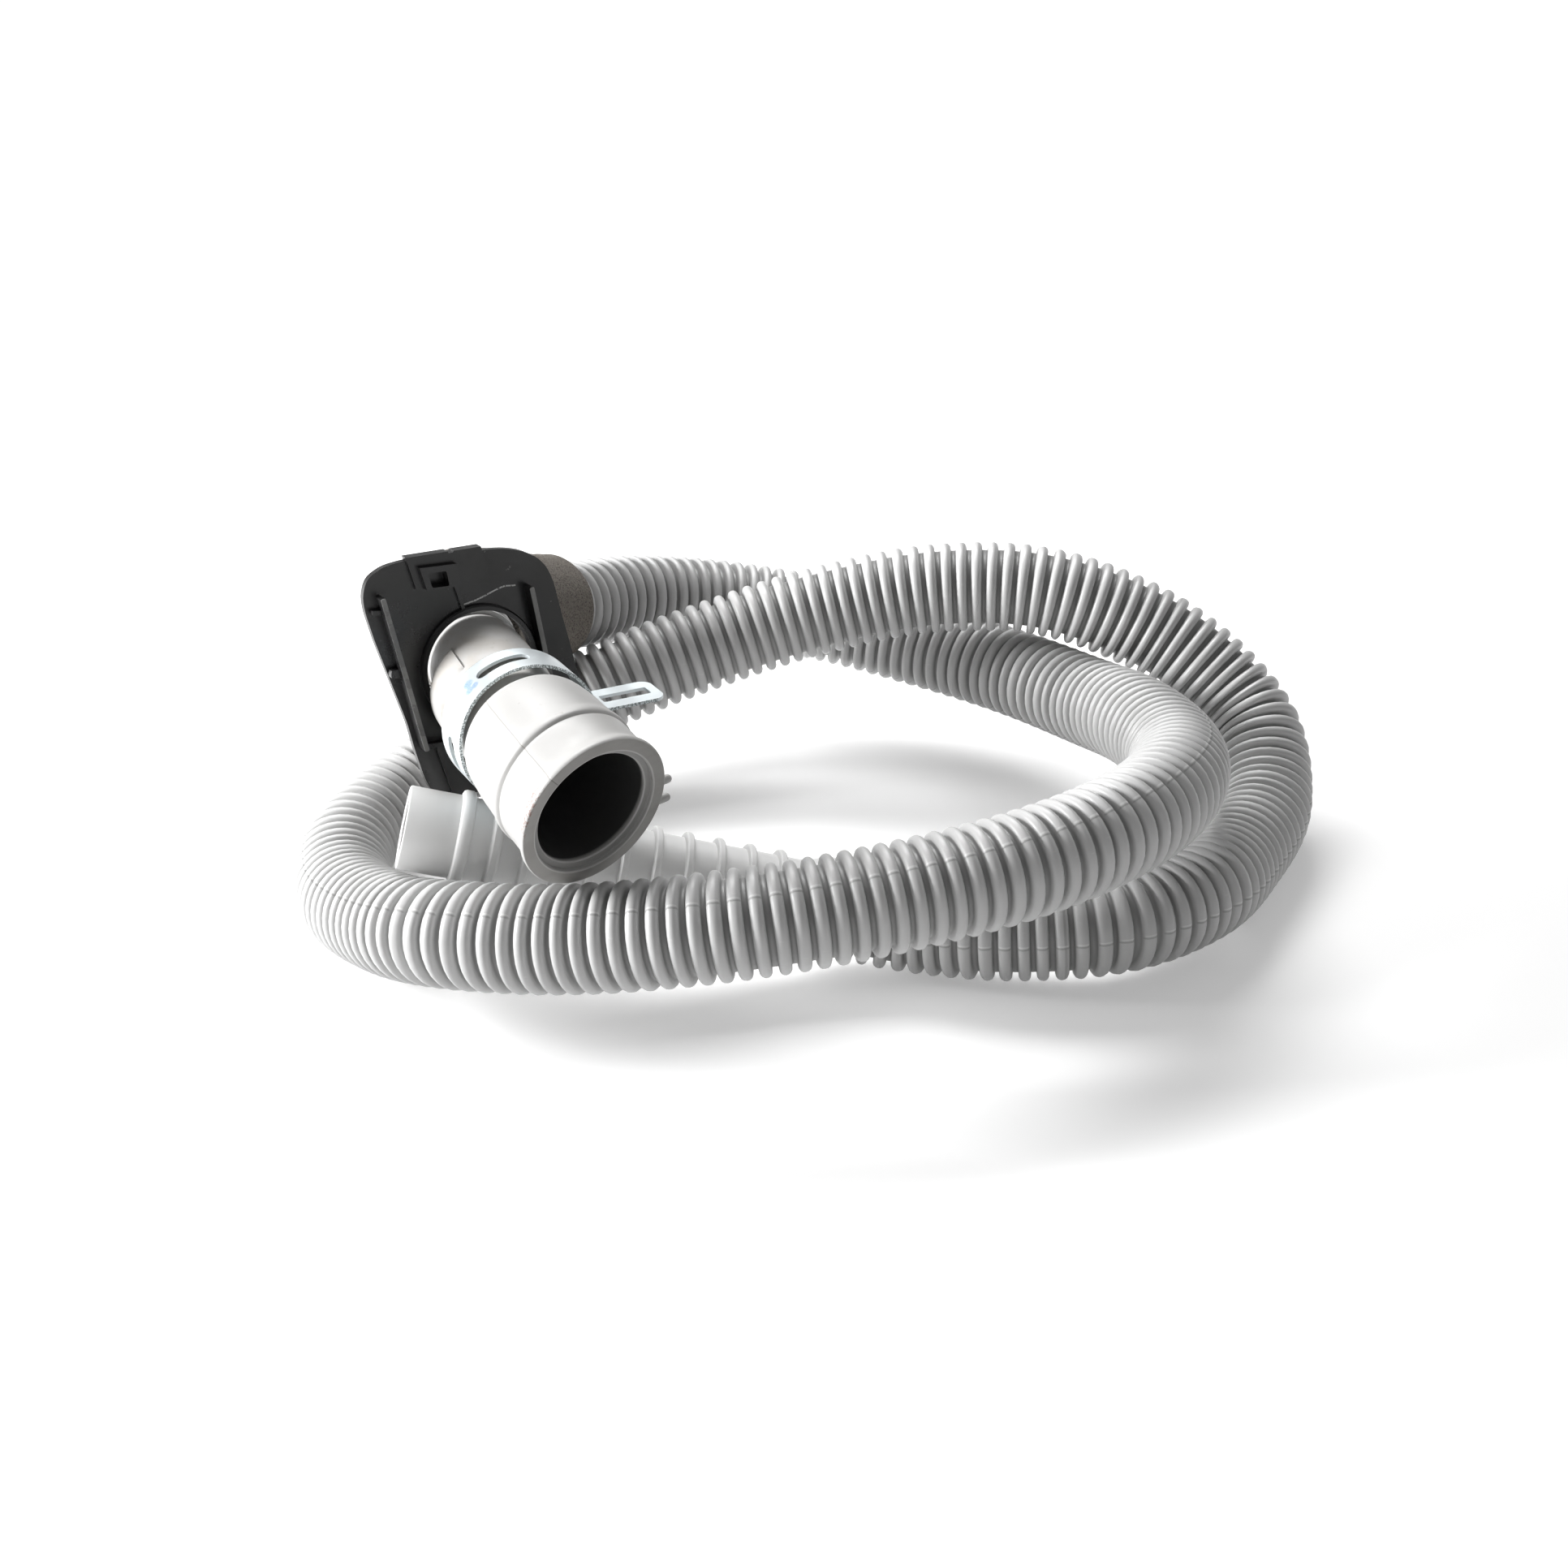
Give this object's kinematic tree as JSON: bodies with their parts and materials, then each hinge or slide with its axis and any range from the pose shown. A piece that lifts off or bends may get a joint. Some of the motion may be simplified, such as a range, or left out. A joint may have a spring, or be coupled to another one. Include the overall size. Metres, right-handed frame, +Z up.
{
  "type": "washing machine drain hose",
  "caption": "Coiled corrugated drain hose with a flared rubber pump boot, a loose slotted band clamp, a cabinet cover plate, a foam sleeve and a ribbed discharge end.",
  "frame": {"origin": "centre of the bounding box at the floor that the coil lies on", "axes": "+X along the longest side of the coil, +Y from the boot's mouth towards the back of the coil, +Z up"},
  "size_m": [0.3027, 0.2505, 0.1174],
  "materials": {
    "hose_plastic": "satin grey",
    "boot_rubber": "smooth light grey",
    "clamp_steel": "zinc plated",
    "plate_plastic": "satin black",
    "sleeve_foam": "open-cell foam"
  },
  "bodies": {
    "root": {"hose_machine_end": "hose_plastic", "hose_back_turn": "hose_plastic", "hose_front_turn": "hose_plastic", "hose_second_turn": "hose_plastic", "hose_last_bend": "hose_plastic", "discharge_end": "hose_plastic", "pump_boot": "boot_rubber", "band_clamp": "clamp_steel", "cover_plate": "plate_plastic", "foam_sleeve": "sleeve_foam"}
  },
  "joints": []
}
